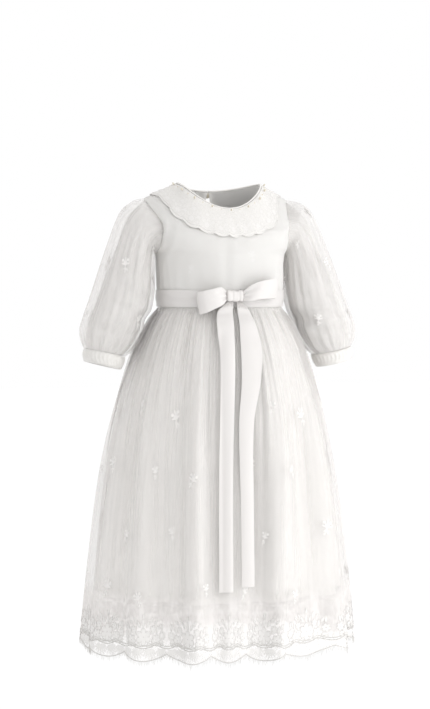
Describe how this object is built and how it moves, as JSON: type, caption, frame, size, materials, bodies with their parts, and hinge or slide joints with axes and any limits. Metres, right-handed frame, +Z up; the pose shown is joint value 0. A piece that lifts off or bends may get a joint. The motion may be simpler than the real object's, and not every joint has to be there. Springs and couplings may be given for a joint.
{
  "type": "child's christening dress",
  "caption": "Child's long gathered christening gown with sheer overlay, full sleeves, round lace collar and ribbon sash tied in a bow, in its hollow worn form.",
  "frame": {"origin": "middle of the neck opening at the height of the neck points, where the wearer's shoulders carry the gown", "axes": "+Z up along the gown; the front faces -Y; +X is the viewer's right"},
  "size_m": [0.4542, 0.3663, 0.7225],
  "materials": {
    "satin": "white polyester satin, soft sheen",
    "tulle": "sheer white embroidered tulle, matt",
    "lace": "white embroidered lace, matt",
    "ribbon": "white double-faced satin ribbon",
    "button": "ivory pearl plastic"
  },
  "bodies": {
    "root": {"bodice_front": "satin", "bodice_back_left": "satin", "bodice_back_right": "satin", "neck_binding": "satin", "nape_button": "button", "lace_collar": "lace", "sleeve_left": "tulle", "sleeve_right": "tulle", "sleeve_lining_left": "satin", "sleeve_lining_right": "satin", "cuff_left": "satin", "cuff_right": "satin", "waist_sash": "ribbon", "bow_knot": "ribbon", "bow_loop_left": "ribbon", "bow_loop_right": "ribbon", "bow_tail_left": "ribbon", "bow_tail_right": "ribbon", "skirt_overlay_front": "tulle", "skirt_overlay_back": "tulle", "skirt_lining_front": "satin", "skirt_lining_back": "satin"}
  },
  "joints": []
}
